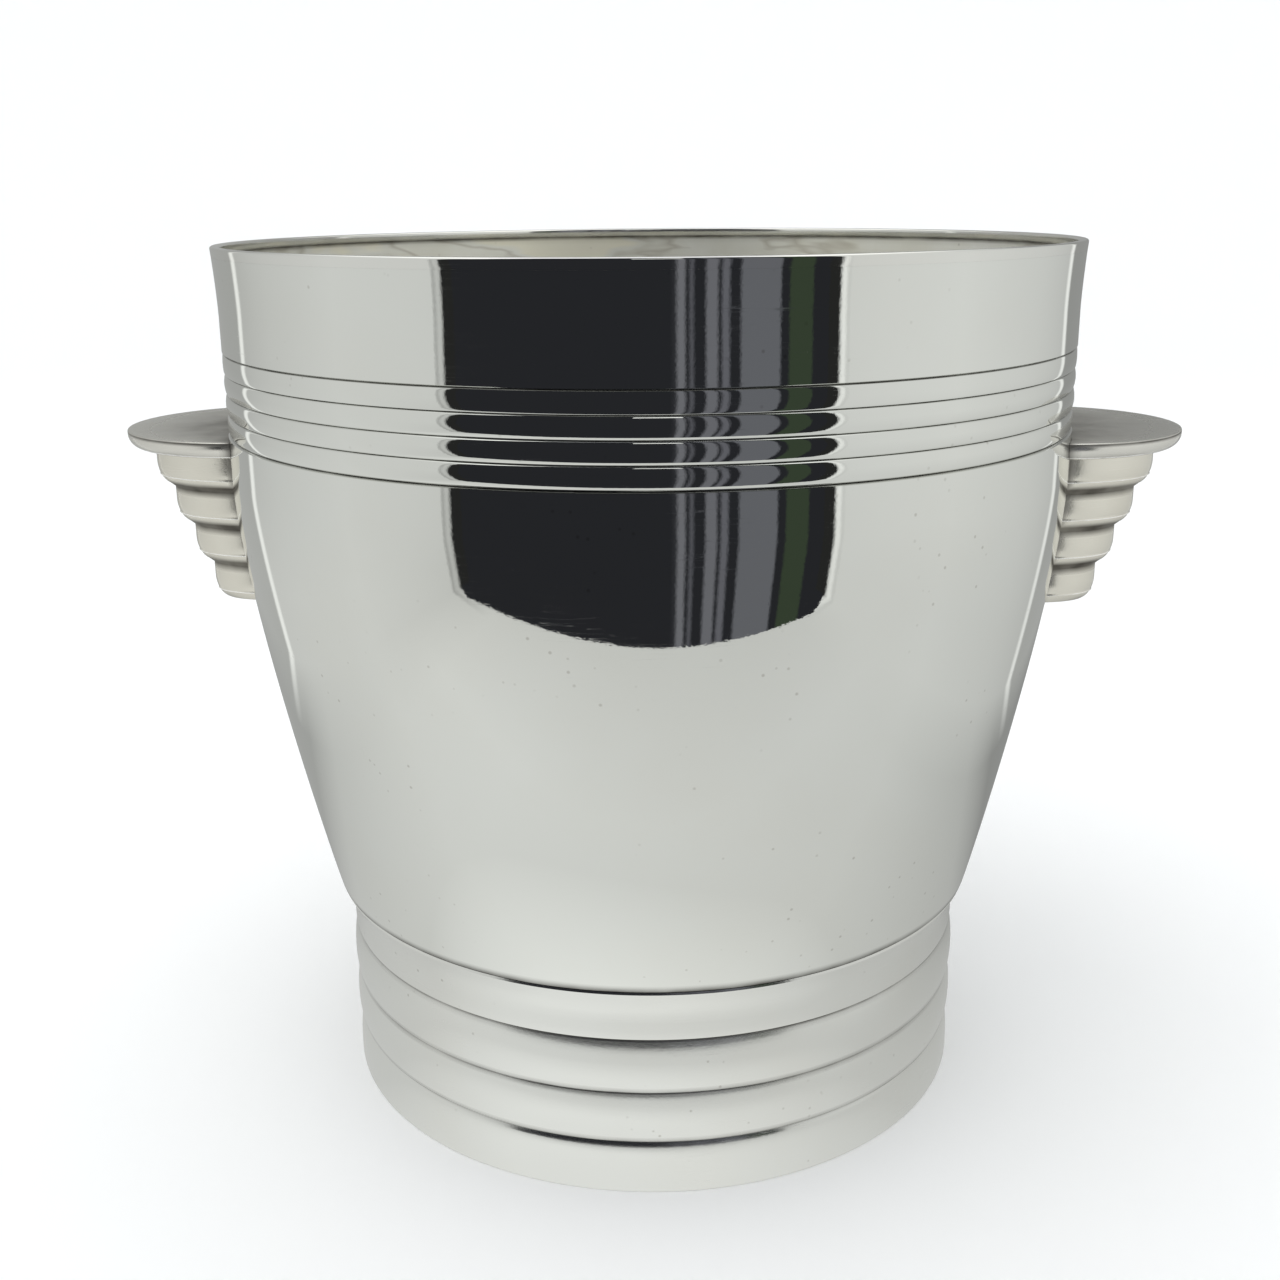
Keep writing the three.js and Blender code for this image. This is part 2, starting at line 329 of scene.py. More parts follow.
def rim_profile():
    """A slim wire, flush with the wall outside and standing proud of it inside."""
    inner = RIM_RADIUS - RIM_WIRE_WIDTH
    bottom = HEIGHT - RIM_WIRE_HEIGHT
    soft = RIM_TOP_ROUND
    outside = [(flare_radius(bottom), bottom)]
    outside += arc(RIM_RADIUS - soft, HEIGHT - soft, soft, soft, 0, 90, ROUND_STEPS)
    inside = arc(inner + soft, HEIGHT - soft, soft, soft, 90, 180, ROUND_STEPS)
    inside += arc(inner + soft, bottom + soft, soft, soft, 180, 270, ROUND_STEPS)
    # grime and painted shade under the wire's inner bead
    dirt_and_shade = near(bottom, RIM_WIRE_GRIME_AND_SHADE)
    return mark_points(outside) + mark_points(inside, dirt_and_shade, RIM_INSIDE_SHARE)


def foot_rib(bottom_z, top_z, shoulder_size):
    """One rib of the foot, listed upwards: tight lower edge, gently swelling face, sloping shoulder."""
    shoulder, depth = shoulder_size
    lean = FOOT_RIB_LEAN / 2
    low = bottom_z + FOOT_RIB_ROUND
    points = arc(FOOT_RADIUS - depth + lean, low, depth, FOOT_RIB_ROUND, -90, 0, ROUND_STEPS)
    # the shoulder carries on from the slope that the face has at its top
    slope = (4 * FOOT_RIB_SWELL + FOOT_RIB_LEAN) / (top_z - low)
    start = math.atan(slope * shoulder / depth)
    high = top_z - shoulder * (1 - math.sin(start))
    for i in range(1, FOOT_RIB_STEPS):
        t = i / FOOT_RIB_STEPS
        bulge = FOOT_RIB_SWELL * (1 - (2 * t - 1) ** 2) + FOOT_RIB_LEAN * (0.5 - t)
        points.append((FOOT_RADIUS + bulge, low + (high - low) * t))
    centre = FOOT_RADIUS - lean - depth * math.cos(start)
    points += arc(centre, top_z - shoulder, depth, shoulder, math.degrees(start), 90, ROUND_STEPS)
    # grime and painted shade along the rib's seams
    lower, upper = near(bottom_z, SEAM_GRIME_AND_SHADE), near(top_z, SEAM_GRIME_AND_SHADE)
    return mark_points(points, lambda z: max(lower(z), upper(z)))


def collar_profile():
    """The collar: two ribs and the hollow neck that carries the vessel."""
    bottom, middle, top = FOOT_LINE_Z[0] + SEAM, FOOT_LINE_Z[1], FOOT_LINE_Z[2]
    inner = FOOT_RADIUS - COLLAR_THICKNESS
    soft = FOOT_RIB_ROUND
    cove = arc(FOOT_RADIUS - soft, top + soft, soft, soft, -90, 0, ROUND_STEPS)
    seat = [
        (NECK_OUTLINE[-1][0] - SEAT_INSET, FOOT_HEIGHT),
        (VESSEL_SEAT_RADIUS + SEAT_CLEARANCE, FOOT_HEIGHT),
    ]
    widening = [(inner + COLLAR_WIDENING, WIDENING_TOP_Z), (inner, WIDENING_BOTTOM_Z)]
    # grime and painted shade at the collar's hidden edges, in the neck and at the seat
    profile = mark_points([(inner, bottom)], near(bottom, HIDDEN_GRIME_AND_SHADE))
    profile += foot_rib(bottom, middle, LOWER_RIB_SHOULDER)
    profile += foot_rib(middle, top, UPPER_RIB_SHOULDER)
    profile += mark_points(cove, near(top, NECK_GRIME_AND_SHADE, 2))
    profile += mark_points(NECK_OUTLINE)
    profile += mark_points(seat, near(FOOT_HEIGHT, HIDDEN_GRIME_AND_SHADE))
    return profile + mark_points(widening)


def base_ring_profile():
    """The heavy ring that stands on the table."""
    inner = BASE_RING_RADIUS - BASE_RING_THICKNESS
    top = FOOT_LINE_Z[0]
    soft = BASE_RING_FOOT_ROUND
    outline = [(inner + BASE_RING_CHAMFER, 0.0)]
    outline += arc(BASE_RING_RADIUS - soft, soft, soft, soft, -90, 0, BASE_RING_FOOT_STEPS)
    outline += arc(
        BASE_RING_RADIUS - BASE_RING_CROWN, BASE_RING_SIDE_Z,
        BASE_RING_CROWN, top - BASE_RING_SIDE_Z, 0, 90, BASE_RING_CROWN_STEPS,
    )
    outline += [(inner, top - BASE_RING_SLOPE), (inner, BASE_RING_CHAMFER)]
    # grime and painted shade along the seam under the collar
    return mark_points(outline, near(top, SEAM_GRIME_AND_SHADE))


# ---- handles ---------------------------------------------------------------------


def trimmed_ring(reach, z, ratio, centre_x):
    """A half-oval plan trimmed to the vessel's wall: its outer arc and the arc along the wall."""
    wall = wall_radius(z) + SEAM
    low, high = 0.0, math.pi
    for _ in range(WALL_SEARCH_STEPS):
        middle = (low + high) / 2
        x = centre_x + reach * math.cos(middle)
        y = reach * ratio * math.sin(middle)
        if math.hypot(x, y) > wall:
            low = middle
        else:
            high = middle
    wall_angle = math.asin(reach * ratio * math.sin(low) / wall)
    outer, along = [], []
    for i in range(HANDLE_SIDES + 1):
        t = 2 * i / HANDLE_SIDES - 1
        x = centre_x + reach * math.cos(low * t)
        outer.append((x, reach * ratio * math.sin(low * t), z))
        along.append((wall * math.cos(wall_angle * t), wall * math.sin(wall_angle * t), z))
    return outer, along


def handle_mesh(profile, ratio, side):
    """Stacks trimmed plans along a profile of (reach, z, marks), listed upwards, and caps both ends."""
    n = HANDLE_SIDES
    centre_x = HANDLE_CENTRE_X - HANDLE_TUCK[side]
    verts, marks, faces = [], [], []
    for reach, z, (dirt_and_shade, inside, painted_highlight) in profile:
        outer, along = trimmed_ring(reach, z + HANDLE_RISE[side], ratio, centre_x)
        ring = outer + along[n - 1 : 0 : -1]
        verts += [(side * x, side * y, h) for x, y, h in ring]
        # grime and painted shade gather where the handle meets the vessel's wall
        for x, y, _ in ring:
            gap = math.hypot(x, y) - wall_radius(z)
            marks.append((max(dirt_and_shade, 1 - gap / WALL_GRIME_AND_SHADE, 0.0), inside, painted_highlight))
    size = 2 * n
    for k in range(len(profile) - 1):
        low, high = k * size, (k + 1) * size
        for i in range(size):
            j = (i + 1) % size
            faces.append([low + i, low + j, high + j, high + i])
    for base in (0, (len(profile) - 1) * size):
        for i in range(n):
            corners = [base + i, base + i + 1, base + (size - i - 1) % size, base + (size - i) % size]
            faces.append(list(dict.fromkeys(corners)))
    return verts, faces, marks


def plate_profile():
    """The thumb plate's edge, listed upwards."""
    bottom = PLATE_TOP_Z - PLATE_THICKNESS
    low = arc(
        PLATE_RADIUS - PLATE_LOWER_ROUND, bottom + PLATE_LOWER_ROUND,
        PLATE_LOWER_ROUND, PLATE_LOWER_ROUND, -90, 0, PLATE_LOWER_STEPS,
    )
    top = arc(
        PLATE_RADIUS - PLATE_UPPER_ROUND, PLATE_TOP_Z - PLATE_UPPER_ROUND,
        PLATE_UPPER_ROUND, PLATE_UPPER_ROUND, 0, 90, PLATE_UPPER_STEPS,
    )
    edge = len(low) // 3
    # the lower corner, which hands touch, carries a painted highlight, and grime and painted shade lie
    # round the top
    profile = mark_points(low[:edge]) + mark_points(low[edge : edge + 2], painted_highlight=1.0)
    profile += mark_points(low[edge + 2 :])
    return profile + mark_points(top, near(PLATE_TOP_Z - PLATE_UPPER_ROUND, PLATE_GRIME_AND_SHADE))


def rib_profile(reach, bottom, top, lowest):
    """One bracket rib, listed upwards: cove, rounded corner with a painted highlight on its crisp edge,
    and plain face.
    """
    drop = RIB_ROUND_HEIGHT * math.sin(math.radians(RIB_ROUND_ANGLE))
    face_bottom = bottom + RIB_COVE_HEIGHT + drop

    def corner(start, stop, steps, proud=0.0):
        return arc(
            reach - RIB_ROUND_WIDTH + proud, face_bottom - proud,
            RIB_ROUND_WIDTH, RIB_ROUND_HEIGHT, start, stop, steps,
        )

    under = corner(-RIB_ROUND_ANGLE, EDGE_ANGLE - EDGE_BLEND, RIB_CORNER_STEPS)
    edge = corner(EDGE_ANGLE - EDGE_HALF_WIDTH, EDGE_ANGLE + EDGE_HALF_WIDTH, 1, EDGE_PROUD)
    over = corner(EDGE_ANGLE + EDGE_BLEND, 0, RIB_CORNER_STEPS)
    face = [(reach, (face_bottom + top) / 2), (reach, top)]
    profile = mark_points(under) if lowest else mark_points(under, near(under[0][1], COVE_GRIME_AND_SHADE))
    profile += mark_points(edge, painted_highlight=1.0)
    profile += mark_points(over)
    return profile + mark_points(face, near(top, COVE_GRIME_AND_SHADE))


def bracket_profile():
    """The four graduated ribs, listed upwards."""
    tops = RIB_BOTTOM_Z[1:] + [PLATE_TOP_Z - PLATE_THICKNESS - SEAM]
    profile = []
    for i, (reach, bottom, top) in enumerate(zip(RIB_REACH, RIB_BOTTOM_Z, tops)):
        profile += rib_profile(reach, bottom, top, lowest=i == 0)
    return profile


# ---- materials -------------------------------------------------------------------

STAIN = (0.62, 0.53, 0.38, 1)  # thin brownish tarnish
PIT_DARK = (0.3, 0.27, 0.22, 1)
# the near-black of grime and painted shade
GRIME_AND_SHADE_DARK = (0.045, 0.036, 0.028, 1)
# the near-white of the painted highlights along the handles' edges
HIGHLIGHT_WHITE = (0.97, 0.96, 0.92, 1)
DULL_DARK = (0.72, 0.71, 0.63, 1)  # the dull silver inside
DULL_LIGHT = (0.84, 0.84, 0.8, 1)
CREAM = (0.9, 0.86, 0.7, 1)
BROWN = (0.25, 0.2, 0.13, 1)

SCRATCH_TURNS = [(0.5, 0.2, 0.3), (-0.7, 0.5, 1.1), (0.3, -0.9, 2.0)]
STAIN_BAND = (0.18, 0.195)  # heights in metres: the inside is fully stained above the second
STAIN_BELOW = 0.12  # what is left of the stains lower down
OUTLINE_STRENGTH = 0.35  # of the brown outlines round the stains
PATCH_STRENGTH = 0.7
PIT_STRENGTH = 0.35
CREVICE_STRENGTH = 0.9
INSIDE_COVER = 0.45  # how far dullness and the painted highlight hide the mirror
HIGHLIGHT_COVER = 0.8
INSIDE_ROUGHNESS = 0.3
CREVICE_ROUGHNESS = 0.4
SCRATCH_ROUGHNESS = 0.12
SWELL_HEIGHT = 0.001  # in metres, as are the next two
GRAIN_HEIGHT = 0.00002
SCRATCH_HEIGHT = 0.00003
SCRATCH_DEPTH = -0.6  # below 0, so that scratches are cut into the silver


class Nodes:
    """Short names for building one material's node tree."""

    def __init__(self, name):
        self.material = bpy.data.materials.new(name)
        self.material.use_nodes = True
        self.tree = self.material.node_tree
        self.shader = self.tree.nodes["Principled BSDF"]

    def add(self, kind, inputs=None, **settings):
        """Adds a node. The helpers after feed give back the output of what they add."""
        node = self.tree.nodes.new(kind)
        for key, value in settings.items():
            setattr(node, key, value)
        for key, value in (inputs or {}).items():
            self.feed(value, node.inputs[key])
        return node

    def feed(self, value, socket):
        """Links an output to a socket, or sets the socket's own value."""
        if isinstance(value, bpy.types.NodeSocket):
            self.tree.links.new(value, socket)
        else:
            socket.default_value = value

    def math(self, operation, *values, clamp=False):
        node = self.add("ShaderNodeMath", dict(enumerate(values)), operation=operation)
        node.use_clamp = clamp
        return node.outputs[0]

    def stretch(self, vector, scale, turn=(0, 0, 0)):
        inputs = {"Vector": vector, "Scale": scale, "Rotation": turn}
        return self.add("ShaderNodeMapping", inputs).outputs[0]

    def noise(self, vector, scale, detail=4.0, rough=0.5, distort=0.0):
        inputs = {
            "Vector": vector, "Scale": scale, "Detail": detail,
            "Roughness": rough, "Distortion": distort,
        }
        return self.add("ShaderNodeTexNoise", inputs).outputs[0]

    def remap(self, value, low, high, to_low=0.0, to_high=1.0):
        inputs = {0: value, 1: low, 2: high, 3: to_low, 4: to_high}
        node = self.add("ShaderNodeMapRange", inputs, clamp=True)
        return node.outputs[0]

    def mix(self, amount, first, second):
        node = self.add("ShaderNodeMix", data_type="RGBA")
        self.feed(amount, node.inputs["Factor"])
        self.feed(first, node.inputs["A"])
        self.feed(second, node.inputs["B"])
        return node.outputs["Result"]

    def ramp(self, value, stops):
        """A smooth run through stops of (position, grey) or (position, colour)."""
        low, high = stops[0][0], stops[-1][0]
        node = self.add("ShaderNodeValToRGB", {"Fac": self.remap(value, low, high)})
        points = node.color_ramp.elements
        while len(points) < len(stops):
            points.new(1.0)
        for point, (position, shade) in zip(points, stops):
            colour = shade if isinstance(shade, tuple) else (shade,) * 3
            point.position = (position - low) / (high - low)
            point.color = (*colour, 1)
        return node.outputs["Color"]

    def bump(self, height, distance, strength, normal=None):
        inputs = {"Height": height, "Distance": distance, "Strength": strength}
        node = self.add("ShaderNodeBump", inputs)
        if normal is not None:
            self.feed(normal, node.inputs["Normal"])
        return node.outputs[0]


def mark(n, label):
    """One of the marks that every vertex carries."""
    return n.add("ShaderNodeAttribute", attribute_name=label).outputs["Fac"]


def scratch_lines(n, place):
    """Fine scratches running three ways, each only here and there."""
    found = 0.0
    for i, turn in enumerate(SCRATCH_TURNS):
        field = n.noise(n.stretch(place, (18, 18, 700), turn), 1.0, detail=1.0)
        offset = n.math("ABSOLUTE", n.math("SUBTRACT", field, 0.5))
        line = n.remap(offset, 0.0, 0.006, 1.0, 0.0)
        here = n.remap(n.noise(place, 35.0 + 7 * i, detail=2.0), 0.5, 0.6)
        found = n.math("MAXIMUM", found, n.math("MULTIPLY", line, here))
    return found


def small_pits(n, place):
    """Scattered round pits, gathered in patches."""
    cells = n.add("ShaderNodeTexVoronoi", {"Vector": place, "Scale": 260.0})
    pits = n.remap(cells.outputs["Distance"], 0.05, 0.12, 1.0, 0.0)
    return n.math("MULTIPLY", pits, n.remap(n.noise(place, 30.0), 0.5, 0.6))


def inside_colour(n, place, cloud):
    """Inside, the silver has gone dull, with cream and brown patches in a band below the rim."""
    height = n.add("ShaderNodeSeparateXYZ", {"Vector": place}).outputs["Z"]
    band = n.remap(height, *STAIN_BAND, STAIN_BELOW, 1.0)
    field = n.noise(n.stretch(place, (22, 22, 90)), 1.0, detail=3.0, rough=0.5, distort=0.3)
    patches = n.math("MULTIPLY", n.remap(field, 0.54, 0.6), n.math("MULTIPLY", band, PATCH_STRENGTH))
    offset = n.math("ABSOLUTE", n.math("SUBTRACT", field, 0.5))
    outline = n.remap(offset, 0.0, 0.035, OUTLINE_STRENGTH, 0.0)
    dull = n.mix(n.remap(cloud, 0.4, 0.6), DULL_DARK, DULL_LIGHT)
    dull = n.mix(patches, dull, CREAM)
    return n.mix(n.math("MULTIPLY", outline, band), dull, BROWN)


def silver(name, tint, roughness, wave, haze, stain, grain, lines):
    """Worn silver plate: polishing lines, fine scratches, pits, haze and brown tarnish, with grime and
    painted shade in the hollows and painted highlights on marked edges.
    """
    n = Nodes(name)
    place = n.add("ShaderNodeTexCoord").outputs["Object"]

    polish = n.noise(n.stretch(place, (6, 6, 900)), 1.0, detail=3.0, rough=0.6)
    scratches = scratch_lines(n, place)
    pits = small_pits(n, place)
    speckle = n.noise(place, 1400.0, detail=2.0)
    cloud = n.noise(place, 14.0, detail=6.0, rough=0.6)
    swell = n.noise(place, 22.0, detail=1.0)

    inside = mark(n, "inside")
    broken = n.remap(n.noise(place, 90.0, detail=5.0), 0.3, 0.65, 0.65, 1.0)
    # grime and painted shade, broken up, darken seams, hollows, coves and joins
    grime_and_shade = n.math("MULTIPLY", mark(n, "grime_and_shade"), broken)
    crevice = n.math("MULTIPLY", grime_and_shade, CREVICE_STRENGTH, clamp=True)
    # painted highlight: the marked edges turn near-white and less metallic
    bright = n.math("MULTIPLY", mark(n, "painted_highlight"), n.remap(n.noise(place, 150.0), 0.3, 0.5))
    stained = n.math("MULTIPLY", n.remap(cloud, 0.45, 0.75), stain)

    colour = n.mix(stained, tint, STAIN)
    colour = n.mix(inside, colour, inside_colour(n, place, cloud))
    colour = n.mix(n.math("MULTIPLY", pits, PIT_STRENGTH), colour, PIT_DARK)
    colour = n.mix(crevice, colour, GRIME_AND_SHADE_DARK)
    colour = n.mix(bright, colour, HIGHLIGHT_WHITE)
    n.feed(colour, n.shader.inputs["Base Color"])

    rough = n.math("ADD", roughness, n.math("MULTIPLY", n.remap(cloud, 0.3, 0.8), haze))
    rough = n.math("ADD", rough, n.math("MULTIPLY", scratches, SCRATCH_ROUGHNESS))
    rough = n.math("ADD", rough, n.math("MULTIPLY", polish, haze * 0.5))
    rough = n.math("ADD", rough, n.math("MULTIPLY", inside, INSIDE_ROUGHNESS))
    rough = n.math("ADD", rough, n.math("MULTIPLY", crevice, CREVICE_ROUGHNESS), clamp=True)
    n.feed(rough, n.shader.inputs["Roughness"])

    dulled = n.math("MULTIPLY", inside, INSIDE_COVER)
    cover = n.math("MAXIMUM", dulled, n.math("MULTIPLY", bright, HIGHLIGHT_COVER))
    n.feed(n.math("SUBTRACT", 1.0, cover), n.shader.inputs["Metallic"])

    normal = n.bump(swell, SWELL_HEIGHT, wave)
    normal = n.bump(polish, GRAIN_HEIGHT, lines, normal)
    normal = n.bump(speckle, GRAIN_HEIGHT, grain, normal)
    normal = n.bump(scratches, SCRATCH_HEIGHT, SCRATCH_DEPTH, normal)
    n.feed(normal, n.shader.inputs["Normal"])
    return n.material


# ---- pieces ----------------------------------------------------------------------

# name, tint, roughness, wave, haze, stain, grain, lines
vessel_silver = silver("vessel_silver", (0.89, 0.9, 0.87, 1), 0.01, 0.03, 0.01, 0.08, 0.1, 0.03)
rim_silver = silver("rim_silver", (0.9, 0.9, 0.87, 1), 0.02, 0.03, 0.02, 0.08, 0.1, 0.06)
foot_silver = silver("foot_silver", (0.89, 0.895, 0.87, 1), 0.13, 0.06, 0.05, 0.1, 0.35, 0.35)
base_silver = silver("base_silver", (0.89, 0.895, 0.87, 1), 0.13, 0.06, 0.05, 0.12, 0.35, 0.35)
plate_silver = silver("plate_silver", (0.9, 0.885, 0.84, 1), 0.16, 0.1, 0.08, 0.2, 0.5, 0.35)
bracket_silver = silver("bracket_silver", (0.93, 0.9, 0.815, 1), 0.15, 0.1, 0.1, 0.3, 0.5, 0.35)

piece_from("vessel", *turned(vessel_profile(), SIDES), "vessel_body", "vessel_silver", vessel_silver)
piece_from("rim", *turned(rim_profile(), SIDES), "rim_wire", "rim_silver", rim_silver)
piece_from("collar", *turned(collar_profile(), SIDES), "foot_collar", "foot_silver", foot_silver)
piece_from(
    "base_ring", *turned(base_ring_profile(), SIDES), "foot_base_ring", "base_silver", base_silver
)
for label, side in (("left", -1), ("right", 1)):
    piece_from(
        f"plate_{label}", *handle_mesh(plate_profile(), 1.0, side),
        f"handle_{label}_plate", "plate_silver", plate_silver,
    )
    piece_from(
        f"bracket_{label}", *handle_mesh(bracket_profile(), RIB_DEPTH_RATIO, side),
        f"handle_{label}_bracket", "bracket_silver", bracket_silver,
    )

# ---- studio ----------------------------------------------------------------------

# The bucket stands in a light tent that is open towards the camera. Its walls, its table
# and the dark room beyond the opening are cards that only show as reflections. Each run
# of greys lists (metres along the card, brightness). All lengths are in metres.

STUDIO_TURN = math.radians(1.0)  # the bucket stands turned a little against the tent
CARD_TINT = (0.985, 1.0, 0.975)
CARD_GAIN = 1.1
TENT_FRONT_Y = -0.325
TENT_EDGE_Y = -0.302  # the walls' cloth starts here
TENT_BACK_Y = 0.5
TENT_TOP_Z = 1.1
LEFT_WALL_X = -0.30
RIGHT_WALL_X = 0.26
WALL_LOW_Z = 0.04  # the walls change from their low greys to their high greys over this span
WALL_HIGH_Z = 0.15
ROOF_START_Z = 0.4  # and from the high greys to the roof's over this one
ROOF_Z = 0.6
ROOF_GREY = 1.1
HEM_SHADE = 0.72  # the cloth just behind the hem, as a share of the hem's brightness
TABLE_FOOT_SHADE = 0.96  # the table just in front of the foot, as a share of its middle's

TABLE_FRONT_Y = -0.311
TABLE_FRONT_BOW = 0.4  # the cloth's front edge bows, so its ends come closer
TABLE_BOW_X = -0.04
TABLE_CORNER_SLOPE = 0.5
TABLE_EDGE_STEPS = 40
TABLE_HALF_WIDTH = 1.0
TABLE_LEFT_X = (-0.22, -0.12)  # the table's left-hand greys hold over this width
TABLE_RIGHT_X = (0.12, 0.2)
TABLE_POOL = 0.16  # extra light pooled on the table just in front of the foot
POOL_STRETCH = (0.6, 1, 1)  # the pool is wider than it is deep
POOL_CENTRE = (-0.01, -0.09, 0)  # once the card is stretched so
POOL_REACH = (0.02, 0.065)  # full inside the first distance, gone at the second

ROOM_Y = -0.70
ROOM_HALF_WIDTH = 1.5
ROOM_BOTTOM_Z = -1
ROOM_GREY = 0.018
ROOM_TINT = (0.97, 1.0, 1.2)
ROOM_COLOUR = tuple(ROOM_GREY * c for c in ROOM_TINT)
FOLDS = [  # the curtain's folds in the dark room: where each starts and stops, and its colour
    (0.07, 0.098, (0.14, 0.14, 0.16)),
    (0.108, 0.12, (0.11, 0.11, 0.13)),
    (0.158, 0.194, (0.13, 0.13, 0.15)),
    (0.204, 0.229, (0.11, 0.11, 0.13)),
    (0.262, 0.405, (0.115, 0.117, 0.135)),
    (0.44, 0.55, (0.034, 0.047, 0.03)),
]
FOLD_EDGE = 0.004

LAMP_Y = -0.69
LAMP_X = (-0.05, 0.1)
LAMP_Z = (0.52, 0.75)
BACK_CARD_Y = 0.8
BACK_HALF_WIDTH = 1.0
BACK_TOP_Z = 1.2
BACK_RUN = [(-0.4, 0.36), (0.4, 0.3)]

FLOOR_FLAT = 1.8  # radius of the flat floor
FLOOR_SWEEP = 0.8  # radius of the sweep up into the wall
FLOOR_TOP_Z = 2.2
FLOOR_SIDES = 96
FLOOR_SWEEP_STEPS = 12
FLOOR_COLOUR = (0.98, 0.98, 0.975)
FLOOR_ROUGHNESS = 0.9
FLOOR_SPECULAR = 0.1

LAMP_AIM = (0, 0, 0.08)
SKY_COLOUR = (0.96, 0.98, 1.0, 1)
SKY_STRENGTH = 1.08


def wall_run(hem, front, middle, back, gap, end):
    """Greys along a tent wall: hem at the opening, lit cloth, a bright gap and the unlit end."""
    return [
        (TENT_FRONT_Y, ROOM_GREY), (TENT_EDGE_Y, ROOM_GREY), (-0.295, hem), (-0.289, hem),
        (-0.282, hem * HEM_SHADE), (-0.277, front), (-0.2, (front + middle) / 2), (-0.1, middle),
        (0.03, (middle + back) / 2), (0.12, back), (0.13, gap), (0.14, gap),
        (0.15, end), (TENT_BACK_Y, end),
    ]


def table_run(front, middle, back):
    """Greys along the table's cloth, brightest between its front edge and the bucket."""
    return [
        (TENT_FRONT_Y, front), (-0.25, (front + middle) / 2), (-0.18, middle),
        (-0.105, middle * TABLE_FOOT_SHADE), (0.03, (middle + back) / 2),
        (0.1, back), (BACK_CARD_Y, back),
    ]


LEFT_WALL_LOW = wall_run(0.44, 0.53, 0.6, 0.54, 0.8, 0.4)
LEFT_WALL_HIGH = wall_run(0.48, 0.57, 0.59, 0.44, 0.8, 0.35)
RIGHT_WALL_LOW = wall_run(0.7, 0.58, 0.58, 0.45, 0.7, 0.35)
RIGHT_WALL_HIGH = wall_run(0.75, 0.6, 0.64, 0.48, 0.78, 0.27)
TABLE_LEFT = table_run(0.55, 0.64, 0.34)
TABLE_RIGHT = table_run(0.53, 0.575, 0.25)


def plain(name, colour):
    """A plain matt material."""
    n = Nodes(name)
    n.shader.inputs["Base Color"].default_value = (*colour, 1)
    n.shader.inputs["Roughness"].default_value = FLOOR_ROUGHNESS
    n.shader.inputs["Specular IOR Level"].default_value = FLOOR_SPECULAR
    return n.material


def pool_of_light(n, place, strength):
    """An oval of extra light on the table."""
    oval = n.stretch(place, POOL_STRETCH)
    offset = n.add("ShaderNodeVectorMath", {0: oval, 1: POOL_CENTRE}, operation="DISTANCE")
    return n.remap(offset.outputs["Value"], *POOL_REACH, strength, 0.0)


def glow(name, columns, axis, blend_axis="Z", pool=0.0):
    """A card's own light: runs of greys along one axis, each at its own place on another axis."""
    n = Nodes(name)
    n.tree.nodes.remove(n.shader)
    place = n.add("ShaderNodeTexCoord").outputs["Object"]
    across = n.add("ShaderNodeSeparateXYZ", {"Vector": place}).outputs
    light = n.ramp(across[axis], columns[0][1])
    for (start, _), (stop, greys) in zip(columns, columns[1:]):
        amount = n.remap(across[blend_axis], start, stop)
        light = n.mix(amount, light, n.ramp(across[axis], greys))
    if pool:
        extra = pool_of_light(n, place, pool)
        light = n.add("ShaderNodeVectorMath", {0: light, 1: extra}, operation="ADD").outputs[0]
    light = n.add("ShaderNodeVectorMath", {0: light, 1: CARD_TINT}, operation="MULTIPLY").outputs[0]
    emission = n.add("ShaderNodeEmission", {"Color": light, "Strength": CARD_GAIN})
    n.tree.links.new(emission.outputs[0], n.tree.nodes["Material Output"].inputs["Surface"])
    return n.material


def even_glow(name, shade):
    """A card's light when it is the same all over."""
    return glow(name, [(0, [(-1, shade), (1, shade)])], "X")


def stage_mesh(name, verts, faces, material):
    """Adds a mesh that belongs to the studio."""
    mesh = bpy.data.meshes.new(name)
    mesh.from_pydata(verts, [], faces)
    mesh.materials.append(material)
    thing = bpy.data.objects.new(name, mesh)
    bpy.context.scene.collection.objects.link(thing)
    return thing


def card(name, corners, material):
    """A card that only shows in the silver, like the walls of a light tent."""
    thing = stage_mesh(name, corners, [tuple(range(len(corners)))], material)
    thing.visible_camera = False
    thing.visible_diffuse = False
    thing.visible_shadow = False
    thing.rotation_euler.z = STUDIO_TURN
    return thing


def upright(y, x_span, z_span):
    """The corners of an upright card that faces the bucket."""
    (left, right), (bottom, top) = x_span, z_span
    return [(left, y, bottom), (right, y, bottom), (right, y, top), (left, y, top)]


def make_floor():
    """A pale floor that sweeps up into a wall all round."""
    rings = [(0.5, 0.0), (1.0, 0.0), (FLOOR_FLAT, 0.0)]
    for i in range(1, FLOOR_SWEEP_STEPS + 1):
        angle = math.radians(90 * i / FLOOR_SWEEP_STEPS)
        up = FLOOR_SWEEP - FLOOR_SWEEP * math.cos(angle)
        rings.append((FLOOR_FLAT + FLOOR_SWEEP * math.sin(angle), up))
    rings.append((FLOOR_FLAT + FLOOR_SWEEP, FLOOR_TOP_Z))
    sides = FLOOR_SIDES
    verts, faces = [(0.0, 0.0, 0.0)], []
    for radius, z in rings:
        for i in range(sides):
            angle = 2 * math.pi * i / sides
            verts.append((radius * math.cos(angle), radius * math.sin(angle), z))
    for i in range(sides):
        faces.append((0, 1 + i, 1 + (i + 1) % sides))
    for k in range(len(rings) - 1):
        low, high = 1 + k * sides, 1 + (k + 1) * sides
        for i in range(sides):
            j = (i + 1) % sides
            faces.append((low + i, high + i, high + j, low + j))
    floor = stage_mesh("floor", verts, faces, plain("pale floor", FLOOR_COLOUR))
    floor.visible_glossy = False  # the silver sees the table card instead
    for face in floor.data.polygons:
        face.use_smooth = True


